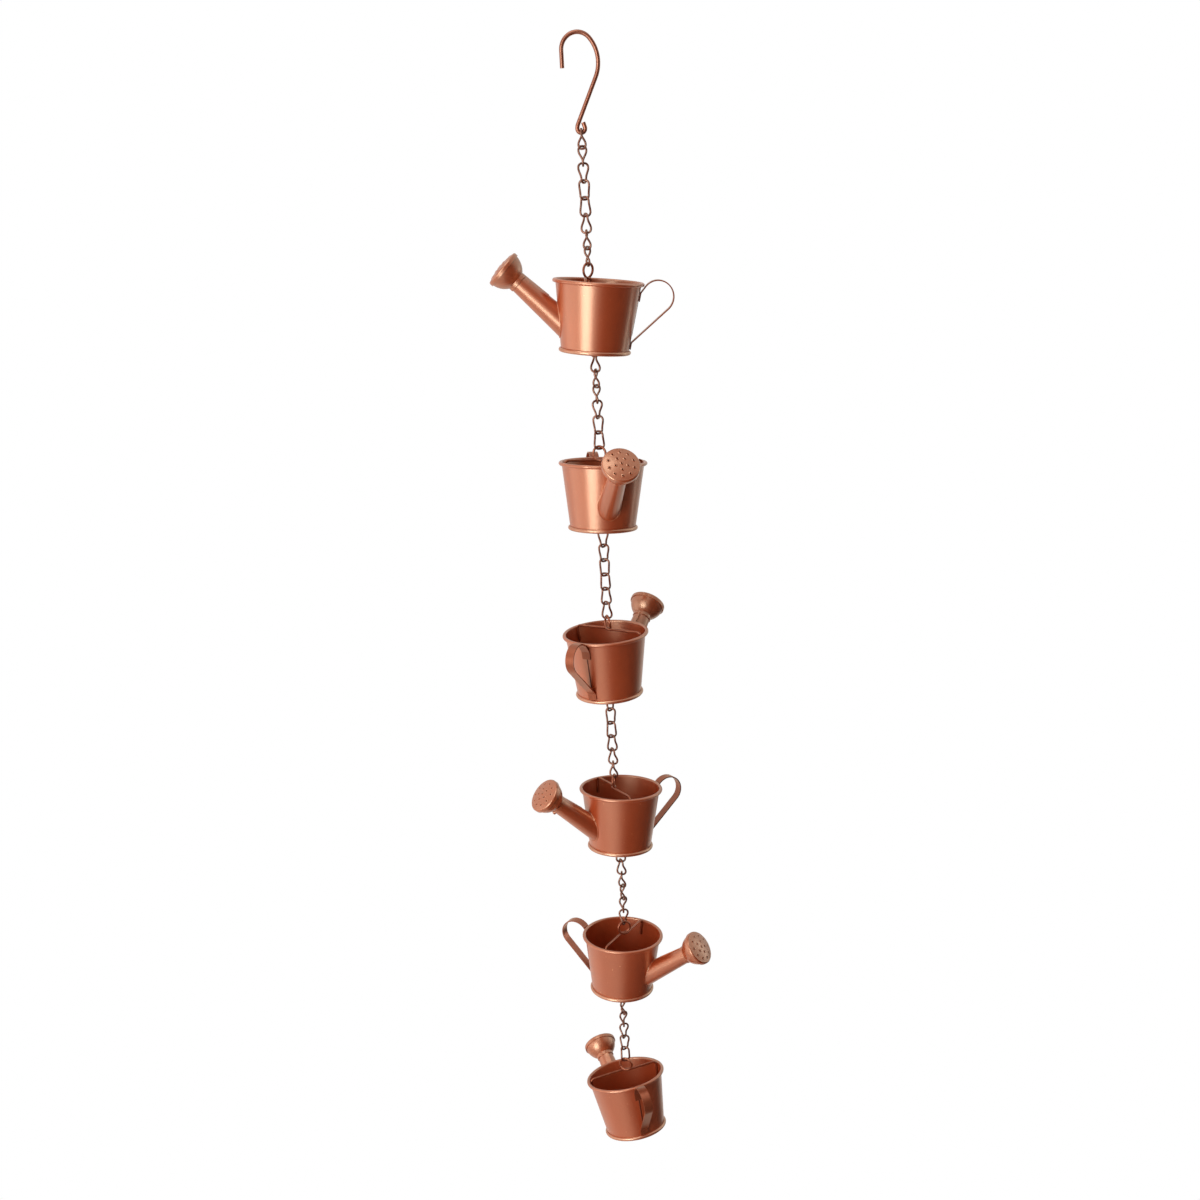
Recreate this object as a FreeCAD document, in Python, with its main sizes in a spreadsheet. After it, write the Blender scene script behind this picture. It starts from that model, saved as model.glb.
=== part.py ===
"""A rain chain: six small watering cans on runs of twisted-link chain under a wire hook.

Lengths are millimetres and angles are degrees. The origin is the inside of the hook's crown,
where it bears on whatever it hangs from, +Z is up and the hook is bent in the XZ plane.
"""

import FreeCAD, Part
import math
import os
import Sketcher

SIZES = {
    # wire hook
    "hook_wire": 3.4,
    "hook_tip_length": 13.0,
    "hook_tip_radius": 12.6,
    "hook_shoulder_radius": 12.5,
    "hook_shoulder_angle": 50.0,
    "hook_back_radius": 27.0,
    "hook_shank_angle": 25.0,
    "hook_eye_bend": 8.0,
    "hook_eye_width": 9.6,
    "hook_tail_angle": 18.0,
    "hook_tail_gap": 0.3,
    # twisted chain link
    "link_wire": 1.6,
    "link_length": 16.15,
    "link_width": 8.0,
    "link_play": 0.2,
    # can wall
    "rim_diameter": 76.0,
    "bead_diameter": 3.2,
    "foot_diameter": 56.0,
    "can_height": 58.0,
    "sheet": 0.7,
    "seat_gap": 0.1,
    # can base
    "seam_thickness": 2.0,
    "seam_height": 3.4,
    "base_recess": 3.0,
    # eye under the base
    "eye_wire": 2.0,
    "eye_width": 8.4,
    "eye_bend_radius": 2.0,
    "eye_foot_length": 6.0,
    "eye_drop": 2.8,
    "drain_gap": 0.3,
    # wire across the rim
    "hanger_wire": 2.0,
    "hanger_rise": 1.2,
    "hanger_bend_radius": 3.0,
    "hanger_leg_length": 15.0,
    "ring_radius": 5.9,
    "ring_angle": 45.0,
    "ring_advance": 2.4,
    "ring_bend_radius": 4.0,
    # spout
    "spout_angle": 38.0,
    "spout_height": 25.5,
    "spout_length": 46.0,
    "spout_root_diameter": 19.6,
    "spout_neck_diameter": 15.0,
    # rose
    "rose_diameter": 32.0,
    "rose_depth": 13.8,
    "rose_collar_length": 3.0,
    "rose_lip_length": 3.2,
    "rose_dome_height": 1.9,
    "rose_edge_radius": 1.6,
    "rose_hole_diameter": 1.4,
    "rose_inner_ring": 5.4,
    "rose_outer_ring": 11.0,
    # strap handle
    "strap_width": 8.0,
    "strap_sheet": 1.0,
    "strap_loop_radius": 13.0,
    "strap_loop_reach": 24.6,
    "strap_loop_drop": 10.2,
    "strap_bend_radius": 2.5,
    "strap_top_gap": 4.8,
    "strap_top_tab": 7.0,
    "strap_foot_height": 10.0,
    "strap_foot_tab": 5.5,
    # way each can faces, from +X towards +Y
    "facing_1": 180.0,
    "facing_2": -80.0,
    "facing_3": 59.0,
    "facing_4": -151.0,
    "facing_5": -28.0,
    "facing_6": 108.0,
    # where each can's ring stands, out from the can's middle towards the spout and sideways
    "ring_out_1": 9.0,
    "ring_out_2": 5.0,
    "ring_out_3": 5.0,
    "ring_out_4": 7.5,
    "ring_out_5": 1.5,
    "ring_out_6": 5.0,
    "ring_side_1": 0.0,
    "ring_side_2": -4.0,
    "ring_side_3": 0.0,
    "ring_side_4": 0.0,
    "ring_side_5": 0.0,
    "ring_side_6": -4.0,
}
FIRST_RUN_LINKS = 8
RUN_LINKS = 6
CAN_COUNT = 6
INNER_HOLES = 5
OUTER_HOLES = 10

UP = FreeCAD.Vector(0, 0, 1)
ALONG_X = FreeCAD.Vector(1, 0, 0)
ALONG_Y = FreeCAD.Vector(0, 1, 0)


class Size:
    """A length or angle together with the spreadsheet formula that it comes from."""

    def __init__(self, value, formula):
        self.value = value
        self.formula = formula

    def __add__(self, other):
        other = as_size(other)
        return Size(self.value + other.value, f"({self.formula} + {other.formula})")

    def __sub__(self, other):
        other = as_size(other)
        return Size(self.value - other.value, f"({self.formula} - {other.formula})")

    def __mul__(self, other):
        other = as_size(other)
        return Size(self.value * other.value, f"({self.formula} * {other.formula})")

    def __truediv__(self, other):
        other = as_size(other)
        return Size(self.value / other.value, f"({self.formula} / {other.formula})")

    def __neg__(self):
        return Size(-self.value, f"(-1 * {self.formula})")


def as_size(given):
    return given if isinstance(given, Size) else Size(float(given), repr(float(given)))


doc = FreeCAD.newDocument("rain_chain")
sheet = doc.addObject("Spreadsheet::Sheet", "Sizes")
for row, (alias, given) in enumerate(SIZES.items(), start=1):
    sheet.set(f"A{row}", alias)
    sheet.set(f"B{row}", str(given))
    sheet.setAlias(f"B{row}", alias)
doc.recompute()


def number(alias):
    """The plain value of a driving dimension."""
    return float(sheet.get(alias))


def size(alias):
    """A driving dimension that stays bound to its cell."""
    return Size(number(alias), f"Sizes.{alias}")


ZERO = as_size(0.0)


# Sketches and features

def new_sketch(body, name, role):
    """An empty sketch on one of the body's own origin planes."""
    sketch = body.newObject("Sketcher::SketchObject", name)
    plane = next(item for item in body.Origin.OriginFeatures if item.Role == role)
    sketch.AttachmentSupport = [(plane, "")]
    sketch.MapMode = "FlatFace"
    return sketch


def bind(sketch, constraint, bound):
    index = sketch.addConstraint(constraint)
    sketch.setExpression(f"Constraints[{index}]", bound.formula)


def pin(sketch, curve, end, across, up):
    """Hold one point of a sketch curve at bound coordinates."""
    bind(sketch, Sketcher.Constraint("DistanceX", -1, 1, curve, end, across.value), across)
    bind(sketch, Sketcher.Constraint("DistanceY", -1, 1, curve, end, up.value), up)


def end_at(sketch, curve, place):
    """Which end of a sketch curve, 1 or 2, lies at a place."""
    first = sketch.getPoint(curve, 1) - place
    second = sketch.getPoint(curve, 2) - place
    return 1 if first.Length < second.Length else 2


def arc_between(start, end, radius):
    """A minor arc that bulges right of the way it runs, or left if the radius is negative."""
    chord = end - start
    outward = FreeCAD.Vector(chord.y, -chord.x, 0).normalize()
    if radius < 0:
        outward = -outward
    rounding = abs(radius)
    sagitta = rounding - math.sqrt(rounding ** 2 - chord.Length ** 2 / 4)
    return Part.Arc(start, (start + end) / 2 + outward * sagitta, end)


def draw_outline(sketch, corners, bulges):
    """A closed outline through bound corners; bulges gives the bound arc radius of its curved sides."""
    places = [FreeCAD.Vector(across.value, up.value, 0) for across, up in corners]
    sides = list(range(len(places)))
    for side in sides:
        start = places[side]
        end = places[(side + 1) % len(places)]
        if side in bulges:
            sketch.addGeometry(arc_between(start, end, bulges[side].value))
        else:
            sketch.addGeometry(Part.LineSegment(start, end))
    for side in sides:
        following = (side + 1) % len(places)
        begin = end_at(sketch, side, places[side])
        pin(sketch, side, begin, *corners[side])
        join = end_at(sketch, following, places[following])
        sketch.addConstraint(Sketcher.Constraint("Coincident", side, 3 - begin, following, join))
        if side in bulges:
            radius = bulges[side] if bulges[side].value > 0 else -bulges[side]
            bind(sketch, Sketcher.Constraint("Radius", side, radius.value), radius)


def revolved(name, corners, bulges):
    """A body turned about its own Z axis from an outline of (radius, height) corners."""
    body = doc.addObject("PartDesign::Body", name)
    sketch = new_sketch(body, f"{name}_outline", "XZ_Plane")
    draw_outline(sketch, corners, bulges)
    turn = body.newObject("PartDesign::Revolution", f"{name}_turn")
    turn.Profile = sketch
    axis = next(item for item in body.Origin.OriginFeatures if item.Role == "Z_Axis")
    turn.ReferenceAxis = (axis, [""])
    turn.Angle = 360
    body.Tip = turn
    return body


def trace(start, heading, moves):
    """Lines and arcs in a plane, each tangent to the one before.

    A move is (length,) for a straight run or (radius, turn) for a bend, to the left if positive.
    """
    curves = []
    point = start
    for move in moves:
        angle = math.radians(heading)
        ahead = FreeCAD.Vector(math.cos(angle), math.sin(angle), 0)
        if len(move) == 1:
            end = point + ahead * move[0]
            curves.append(Part.LineSegment(point, end))
        else:
            radius, turn = move
            left = FreeCAD.Vector(-ahead.y, ahead.x, 0)
            centre = point + left * math.copysign(radius, turn)
            halfway = centre + FreeCAD.Rotation(UP, turn / 2).multVec(point - centre)
            end = centre + FreeCAD.Rotation(UP, turn).multVec(point - centre)
            curves.append(Part.Arc(point, halfway, end))
            heading += turn
        point = end
    return curves, point


def piped(name, curves, radii, wire, start, role):
    """A round wire along a path in the body's XZ plane; radii gives the bound radius of its bends."""
    body = doc.addObject("PartDesign::Body", name)
    path = new_sketch(body, f"{name}_path", "XZ_Plane")
    for curve in curves:
        path.addGeometry(curve)
    for index, radius in radii.items():
        bind(path, Sketcher.Constraint("Radius", index, radius.value), radius)
    section = new_sketch(body, f"{name}_section", role)
    upright = role == "XY_Plane"
    shift = FreeCAD.Vector(0, 0, start.y if upright else start.x)
    section.AttachmentOffset = FreeCAD.Placement(shift, FreeCAD.Rotation())
    centre = FreeCAD.Vector(start.x, 0, 0) if upright else FreeCAD.Vector(0, start.y, 0)
    ring = section.addGeometry(Part.Circle(centre, UP, wire.value / 2))
    bind(section, Sketcher.Constraint("Diameter", ring, wire.value), wire)
    pipe = body.newObject("PartDesign::AdditivePipe", f"{name}_pipe")
    pipe.Profile = section
    pipe.Spine = (path, [f"Edge{index + 1}" for index in range(len(curves))])
    body.Tip = pipe
    return body


def bent_wire(start, heading, moves, diameter):
    """A round wire bent in space: straight runs (length,) and bends (radius, turn, towards)."""
    point = start
    ahead = FreeCAD.Vector(heading).normalize()
    pieces = []
    for move in moves:
        disc = Part.Face(Part.Wire(Part.makeCircle(diameter / 2, point, ahead)))
        if len(move) == 1:
            pieces.append(disc.extrude(ahead * move[0]))
            point = point + ahead * move[0]
            continue
        radius, turn, towards = move
        inward = (towards - ahead * towards.dot(ahead)).normalize()
        centre = point + inward * radius
        axis = ahead.cross(inward)
        pieces.append(disc.revolve(centre, axis, turn))
        bend = FreeCAD.Rotation(axis, turn)
        point = centre + bend.multVec(point - centre)
        ahead = bend.multVec(ahead)
    return pieces[0].multiFuse(pieces[1:]).removeSplitter().Solids[0]


# Hook, with its eye's lowest point under the crown

def make_hook():
    wire = number("hook_wire")
    tip = number("hook_tip_radius")
    tip_length = number("hook_tip_length")
    shoulder = number("hook_shoulder_radius")
    back = number("hook_back_radius")
    bend = number("hook_eye_bend")
    eye = (number("hook_eye_width") - wire) / 2
    over = number("hook_shoulder_angle")
    lean = number("hook_shank_angle")
    close = number("hook_tail_angle")
    sine = math.sin(math.radians(lean))
    cosine = math.cos(math.radians(lean))
    shoulder_reach = math.sin(math.radians(over))
    back_end = shoulder * shoulder_reach + back * (cosine - shoulder_reach)
    shank = (back_end - bend * (1 - cosine) + eye) / sine
    start = FreeCAD.Vector(-tip, wire / 2 - tip - tip_length, 0)
    moves = [
        (tip_length,),
        (tip, -90.0),
        (shoulder, -over),
        (back, over - 90.0 - lean),
        (shank,),
        (bend, lean),
        (eye, 180.0 + close),
    ]
    curves, shank_end = trace(start, 90.0, moves[:5])
    curves, eye_start = trace(start, 90.0, moves[:6])
    curves, eye_end = trace(start, 90.0, moves)
    # the eye's loose end leans back and stops just short of the shank that it closes on
    apart = (eye_end.x - shank_end.x) * cosine - (eye_end.y - shank_end.y) * sine
    meeting = math.radians(lean + close)
    clearance = wire / 2 + number("hook_tail_gap") + wire / 2 * math.cos(meeting)
    curves, end = trace(start, 90.0, moves + [((apart - clearance) / math.sin(meeting),)])
    radii = {
        1: size("hook_tip_radius"),
        2: size("hook_shoulder_radius"),
        3: size("hook_back_radius"),
        5: size("hook_eye_bend"),
        6: (size("hook_eye_width") - size("hook_wire")) / 2,
    }
    body = piped("hanging_hook", curves, radii, size("hook_wire"), start, "XY_Plane")
    return body, FreeCAD.Vector(0, 0, eye_start.y - eye)


# Twisted link: its top end lies in the XZ plane and its bottom end in the YZ plane

def make_link():
    wire = number("link_wire")
    end_radius = (number("link_width") - wire) / 2
    middle = number("link_length") - wire - 2 * end_radius
    lean = 2 * math.atan(end_radius * math.sqrt(2) / middle)
    sweep = middle / (2 * math.sin(lean))
    turn = math.degrees(lean)
    slant = ALONG_Y - ALONG_X
    moves = [
        (end_radius, 180.0, ALONG_X),
        (sweep, turn, slant),
        (sweep, turn, -slant),
        (end_radius, 180.0, -ALONG_Y),
        (sweep, turn, slant),
        (sweep, turn, -slant),
    ]
    link = doc.addObject("Part::Feature", "link_pattern")
    link.Shape = bent_wire(FreeCAD.Vector(-end_radius, 0, -end_radius), UP, moves, wire)
    return link


# Can wall and base, whose frame starts at the middle of the rim's top with the spout towards +X

def wall_outside(height):
    """The wall's outer radius at a height, which is below zero under the rim's top."""
    bead = size("bead_diameter")
    top = size("rim_diameter") / 2 - bead + size("sheet")
    slope = (top - size("foot_diameter") / 2) / (size("can_height") - bead / 2)
    return top + slope * (as_size(height) + bead / 2)


def wall_inside(height):
    return wall_outside(height) - size("sheet")


def wall_lean():
    """How far the wall leans outwards, in radians."""
    return math.atan(wall_outside(0.0).value - wall_outside(-1.0).value)


def make_wall():
    """Tapered sheet wall with its top edge rolled outwards round a wire."""
    bead = size("bead_diameter") / 2
    middle = size("rim_diameter") / 2 - bead
    foot = -size("can_height") + size("sheet") + size("seat_gap")
    corners = [
        (wall_inside(foot), foot),
        (wall_outside(foot), foot),
        (wall_outside(-bead * 2), -bead * 2),
        (middle, -bead * 2),
        (middle + bead, -bead),
        (middle, ZERO),
        (middle - bead, -bead),
    ]
    return revolved("wall_pattern", corners, {3: bead, 4: bead, 5: bead})


def drain_radius():
    half_eye = (size("eye_width") - size("eye_wire")) / 2
    return half_eye + size("eye_bend_radius") + size("drain_gap")


def make_base():
    """Recessed bottom disc with a drain hole, folded round the wall's lower edge in a thick seam."""
    bottom = -size("can_height")
    under = bottom + size("base_recess")
    top = under + size("sheet")
    floor = bottom + size("sheet")
    rim = bottom + size("seam_height")
    gap = size("seat_gap")
    corners = [
        (drain_radius(), under),
        (wall_inside(under) - gap - size("sheet"), under),
        (wall_inside(bottom) - gap - size("sheet"), bottom),
        (wall_outside(bottom) + gap + size("sheet"), bottom),
        (wall_outside(rim) + gap + size("sheet") / 2, rim),
        (wall_outside(rim) + gap, rim),
        (wall_outside(floor) + gap, floor),
        (wall_inside(floor) - gap, floor),
        (wall_inside(top) - gap, top),
        (drain_radius(), top),
    ]
    proud = size("seam_thickness") - size("sheet")
    chord = size("seam_height")
    return revolved("base_pattern", corners, {3: (chord * chord / 4 + proud * proud) / (proud * 2)})


# Eye under the base: a wire loop through the drain hole with two feet lying on the base

def make_eye():
    wire = number("eye_wire")
    half = (number("eye_width") - wire) / 2
    bend = number("eye_bend_radius")
    foot = number("eye_foot_length")
    base_top = -number("can_height") + number("base_recess") + number("sheet")
    feet = base_top + number("seat_gap") + wire / 2
    centre = -number("can_height") - number("eye_drop") + half
    leg = feet - bend - centre
    start = FreeCAD.Vector(-half - bend - foot, feet, 0)
    moves = [(foot,), (bend, -90.0), (leg,), (half, 180.0), (leg,), (bend, -90.0), (foot,)]
    curves, end = trace(start, 0.0, moves)
    radii = {
        1: size("eye_bend_radius"),
        3: (size("eye_width") - size("eye_wire")) / 2,
        5: size("eye_bend_radius"),
    }
    body = piped("eye_pattern", curves, radii, size("eye_wire"), start, "YZ_Plane")
    return body, FreeCAD.Vector(0, 0, centre), half


# Wire across the rim, with a ring turned in its middle and its ends bent down inside the wall

def ring_centre(can):
    rise = number("hanger_rise") + number("ring_radius")
    return FreeCAD.Vector(number(f"ring_out_{can}"), number(f"ring_side_{can}"), rise)


def ring_way():
    """The level way that the ring's plane faces along, in the can's frame."""
    angle = math.radians(number("ring_angle"))
    return FreeCAD.Vector(math.cos(angle), math.sin(angle), 0)


def leg_place(across, height, side):
    """The middle of a hanger leg that lies along the inside of the wall."""
    stand_off = (number("hanger_wire") / 2 + number("seat_gap")) / math.cos(wall_lean())
    reach = wall_inside(height).value - stand_off
    return FreeCAD.Vector(across, side * math.sqrt(reach ** 2 - across ** 2), height)


def make_hanger(can):
    rise = number("hanger_rise")
    radius = number("ring_radius")
    bend = number("hanger_bend_radius")
    advance = number("ring_advance")
    ring_bend = number("ring_bend_radius")
    turn = 90.0 - number("ring_angle")
    aside = UP.cross(ring_way())
    tilt = math.asin(advance / (4 * radius))
    middle = ring_centre(can) - UP * radius
    angle = math.radians(turn)
    swing = FreeCAD.Vector(ring_bend * (1 - math.cos(angle)), ring_bend * math.sin(angle), 0)
    enter = middle + aside * (advance / 2) - swing
    leave = middle - aside * (advance / 2) + swing
    low = rise - number("hanger_leg_length")
    near_corner = leg_place(enter.x, rise, -1)
    near_foot = leg_place(enter.x, low, -1)
    far_corner = leg_place(leave.x, rise, 1)
    far_foot = leg_place(leave.x, low, 1)
    near_turn = (near_corner - near_foot).getAngle(ALONG_Y)
    far_turn = (far_foot - far_corner).getAngle(ALONG_Y)
    near_cut = bend * math.tan(near_turn / 2)
    far_cut = bend * math.tan(far_turn / 2)
    moves = [
        ((near_corner - near_foot).Length - near_cut,),
        (bend, math.degrees(near_turn), ALONG_Y),
        (enter.y - near_corner.y - near_cut,),
        (ring_bend, turn, ALONG_X),
        (radius, 180.0, UP * math.cos(tilt) - aside * math.sin(tilt)),
        (radius, 180.0, -UP * math.cos(tilt) - aside * math.sin(tilt)),
        (ring_bend, turn, ALONG_Y),
        (far_corner.y - leave.y - far_cut,),
        (bend, math.degrees(far_turn), far_foot - far_corner),
        ((far_foot - far_corner).Length - far_cut,),
    ]
    hanger = doc.addObject("Part::Feature", f"can_{can}_hanger")
    hanger.Shape = bent_wire(near_foot, near_corner - near_foot, moves, number("hanger_wire"))
    return hanger


# Spout and rose, along one slanted axis that starts at the wall

def spout_placement():
    height = -number("can_height") + number("spout_height")
    start = FreeCAD.Vector(wall_outside(height).value, 0, height)
    return FreeCAD.Placement(start, FreeCAD.Rotation(ALONG_Y, 90.0 - number("spout_angle")))


def spout_slope():
    """How much the spout's radius grows for each millimetre back from its neck."""
    return (size("spout_root_diameter") - size("spout_neck_diameter")) / 2 / size("spout_length")


def make_spout():
    """Tapered tube, cut to the wall's curve at its root."""
    neck = size("spout_neck_diameter") / 2
    buried = size("spout_root_diameter")
    length = size("spout_length") + buried
    place = spout_placement()
    back = place.Rotation.multVec(UP) * buried.value
    cones = []
    for name, inset in (("spout_outside", ZERO), ("spout_inside", size("sheet"))):
        cone = doc.addObject("Part::Cone", name)
        cone.setExpression("Radius1", (neck + spout_slope() * length - inset).formula)
        cone.setExpression("Radius2", (neck - inset).formula)
        cone.setExpression("Height", length.formula)
        cone.Placement = FreeCAD.Placement(place.Base - back, place.Rotation)
        cones.append(cone)
    tube = doc.addObject("Part::Cut", "spout_tube")
    tube.Base = cones[0]
    tube.Tool = cones[1]
    bottom = -size("can_height")
    can = doc.addObject("Part::Cone", "spout_cutter")
    can.setExpression("Radius1", (wall_outside(bottom) + size("seat_gap")).formula)
    can.setExpression("Radius2", (wall_outside(ZERO) + size("seat_gap")).formula)
    can.setExpression("Height", size("can_height").formula)
    can.Placement.Base = FreeCAD.Vector(0, 0, bottom.value)
    spout = doc.addObject("Part::Cut", "spout_pattern")
    spout.Base = tube
    spout.Tool = can
    return spout


def make_rose_cup():
    """Bowl that flares from a collar round the spout's neck to the rose's edge."""
    metal = size("sheet")
    neck = size("spout_neck_diameter") / 2 + size("seat_gap")
    edge = size("rose_diameter") / 2 - metal - size("seat_gap")
    collar = size("spout_length") - size("rose_collar_length")
    collar_radius = neck + spout_slope() * size("rose_collar_length")
    bowl = size("spout_length")
    rim = bowl + size("rose_depth")
    run = edge - neck - metal
    outer_rise = size("rose_depth")
    inner_rise = size("rose_depth") - metal
    outer_arc = (run * run + outer_rise * outer_rise) / (run * 2)
    inner_arc = (run * run + inner_rise * inner_rise) / (run * 2)
    corners = [
        (collar_radius, collar),
        (collar_radius + metal, collar),
        (neck + metal, bowl),
        (edge, rim),
        (edge - metal, rim),
        (neck, bowl + metal),
        (neck, bowl),
    ]
    cup = revolved("rose_cup_pattern", corners, {2: outer_arc, 4: -inner_arc})
    cup.Placement = spout_placement()
    return cup


def make_rose_face():
    """Low domed cap folded over the bowl's edge, with rings of sprinkler holes."""
    metal = size("sheet")
    outside = size("rose_diameter") / 2
    inside = outside - metal
    edge = size("rose_edge_radius")
    rim = size("spout_length") + size("rose_depth") + size("seat_gap") + edge - metal
    lip = rim - size("rose_lip_length")
    dome = size("rose_dome_height")
    flat = outside - edge
    corners = [
        (ZERO, rim + dome),
        (flat, rim),
        (inside, rim - edge + metal),
        (inside, lip),
        (outside, lip),
        (outside, rim + metal - edge),
        (flat, rim + metal),
        (ZERO, rim + metal + dome),
    ]
    inner_arc = (flat * flat + dome * dome) / (dome * 2)
    body = revolved("rose_face_pattern", corners, {0: -inner_arc, 1: -(edge - metal), 5: edge, 6: inner_arc})
    doc.recompute()
    plain = body.Shape.Volume
    holes = new_sketch(body, "rose_holes", "XY_Plane")
    bore = size("rose_hole_diameter")
    rings = ((1, ZERO), (INNER_HOLES, size("rose_inner_ring")), (OUTER_HOLES, size("rose_outer_ring")))
    for count, ring in rings:
        for index in range(count):
            angle = 2 * math.pi * index / count
            across = ring * math.cos(angle)
            up = ring * math.sin(angle)
            place = FreeCAD.Vector(across.value, up.value, 0)
            hole = holes.addGeometry(Part.Circle(place, UP, bore.value / 2))
            pin(holes, hole, 3, across, up)
            bind(holes, Sketcher.Constraint("Diameter", hole, bore.value), bore)
    pocket = body.newObject("PartDesign::Pocket", "rose_pocket")
    pocket.Profile = holes
    pocket.Type = "ThroughAll"
    pocket.Reversed = True
    body.Tip = pocket
    doc.recompute()
    if body.Shape.Volume >= plain:
        raise RuntimeError("the rose's holes cut nothing")
    body.Placement = spout_placement()
    return body


# Strap handle on the side away from the spout

def strap_path():
    """The strap's middle line, outwards and up from its foot: tab, straight run, loop and top tab."""
    half = number("strap_sheet") / 2
    bend = number("strap_bend_radius")
    loop = number("strap_loop_radius")
    lean = wall_lean()
    off_wall = (half + number("seat_gap")) / math.cos(lean)
    foot_height = -number("can_height") + number("strap_foot_height")
    top_height = -number("bead_diameter") - number("strap_top_gap")
    foot = FreeCAD.Vector(wall_outside(foot_height).value + off_wall, foot_height, 0)
    top = FreeCAD.Vector(wall_outside(top_height).value + off_wall, top_height, 0)
    outermost = number("rim_diameter") / 2 + number("strap_loop_reach")
    centre = FreeCAD.Vector(outermost - loop, -number("strap_loop_drop"), 0)
    up_wall = math.pi / 2 - lean
    from_foot = centre - foot
    out_way = math.atan2(from_foot.y, from_foot.x) - math.asin(loop / from_foot.Length)
    from_top = centre - top
    back_way = math.atan2(from_top.y, from_top.x) + math.asin(loop / from_top.Length)
    foot_turn = out_way - up_wall
    loop_turn = back_way + math.pi - out_way
    top_turn = up_wall - back_way
    foot_cut = bend * math.tan(abs(foot_turn) / 2)
    top_cut = bend * math.tan(abs(top_turn) / 2)
    start = foot - FreeCAD.Vector(math.cos(up_wall), math.sin(up_wall), 0) * number("strap_foot_tab")
    moves = [
        (number("strap_foot_tab") - foot_cut,),
        (bend, math.degrees(foot_turn)),
        (math.sqrt(from_foot.Length ** 2 - loop ** 2) - foot_cut,),
        (loop, math.degrees(loop_turn)),
        (math.sqrt(from_top.Length ** 2 - loop ** 2) - top_cut,),
        (bend, math.degrees(top_turn)),
        (number("strap_top_tab") - top_cut,),
    ]
    return start, math.degrees(up_wall), moves


def strap_side(start, heading, moves, inset):
    """One edge of the strap, on the left of its middle line by an inset."""
    angle = math.radians(heading)
    begin = start + FreeCAD.Vector(-math.sin(angle), math.cos(angle), 0) * inset
    shifted = []
    for move in moves:
        if len(move) == 1:
            shifted.append(move)
        else:
            radius, turn = move
            shifted.append((radius - math.copysign(1.0, turn) * inset, turn))
    return trace(begin, heading, shifted)


def make_handle():
    """Flat strip, padded from its edge-on outline."""
    start, heading, moves = strap_path()
    half = number("strap_sheet") / 2
    left, left_end = strap_side(start, heading, moves, half)
    right, right_end = strap_side(start, heading, moves, -half)
    body = doc.addObject("PartDesign::Body", "handle_pattern")
    sketch = new_sketch(body, "handle_outline", "XZ_Plane")
    for curve in left + right:
        sketch.addGeometry(curve)
    sketch.addGeometry(Part.LineSegment(left[0].StartPoint, right[0].StartPoint))
    sketch.addGeometry(Part.LineSegment(left_end, right_end))
    inner = size("strap_loop_radius") - size("strap_sheet") / 2
    outer = size("strap_loop_radius") + size("strap_sheet") / 2
    bind(sketch, Sketcher.Constraint("Radius", 3, inner.value), inner)
    bind(sketch, Sketcher.Constraint("Radius", 3 + len(left), outer.value), outer)
    pad = body.newObject("PartDesign::Pad", "handle_pad")
    pad.Profile = sketch
    pad.Midplane = True
    pad.setExpression("Length", size("strap_width").formula)
    body.Tip = pad
    body.Placement.Rotation = FreeCAD.Rotation(UP, 180.0)
    return body


# Copies of a pattern piece

def copy_of(pattern, name, placement):
    """A body that repeats a pattern piece at its own placement."""
    body = doc.addObject("PartDesign::Body", name)
    base = doc.addObject("PartDesign::FeatureBase", f"{name}_form")
    body.Group = [base]
    base.BaseFeature = pattern
    base.Placement = pattern.Placement
    body.Tip = base
    body.Placement = placement
    return body


def upward_in(normal):
    """The steepest way up within a plane."""
    return (UP - normal * UP.dot(normal)).normalize()


def way_angle(way):
    return math.degrees(math.atan2(way.y, way.x))


hook, hook_eye = make_hook()
link = make_link()
patterns = {
    "wall": make_wall(),
    "base": make_base(),
    "spout": make_spout(),
    "rose_cup": make_rose_cup(),
    "rose_face": make_rose_face(),
    "handle": make_handle(),
}
eye, eye_centre, eye_radius = make_eye()
doc.recompute()

link_drop = number("link_length") - number("link_wire")
link_step = link_drop - number("link_wire") - number("link_play")


def run_of_links(run, count, hanging, eye_wire, eye_angle, ring_angle):
    """Links that hang one in another, each turned a little so that the last one suits the ring below."""
    twist = (ring_angle - eye_angle) % 180.0 - 90.0
    step = twist / (count + 1)
    top = hanging + UP * ((eye_wire + number("link_wire")) / 2 + number("link_play"))
    links = []
    for index in range(count):
        angle = eye_angle + 90.0 + step * (index + 1)
        place = FreeCAD.Placement(top - UP * (link_step * index), FreeCAD.Rotation(UP, angle))
        links.append(copy_of(link, f"run_{run}_link_{index + 1}", place))
    group = doc.addObject("Part::Compound", f"chain_run_{run}")
    group.Links = links
    lowest = top - UP * (link_step * (count - 1) + link_drop)
    wire_angle = math.radians(angle + 90.0)
    return group, lowest, FreeCAD.Vector(math.cos(wire_angle), math.sin(wire_angle), 0)


def can_weight(hanger, with_eye):
    """The can's volume and its centre of mass, in the can's frame."""
    solids = [piece.Shape.Solids[0] for piece in patterns.values()]
    solids.append(hanger.Shape.Solids[0])
    if with_eye:
        solids.append(eye.Shape.Solids[0])
    volume = sum(solid.Volume for solid in solids)
    moment = FreeCAD.Vector()
    for solid in solids:
        moment = moment + solid.CenterOfMass * solid.Volume
    return volume, moment / volume


# The chain hangs free, so each can's own weight and its load settle under the link that holds it

nodes = [hook]
hinges = []
hangers = []
for can in range(1, CAN_COUNT + 1):
    hangers.append(make_hanger(can))

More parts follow.
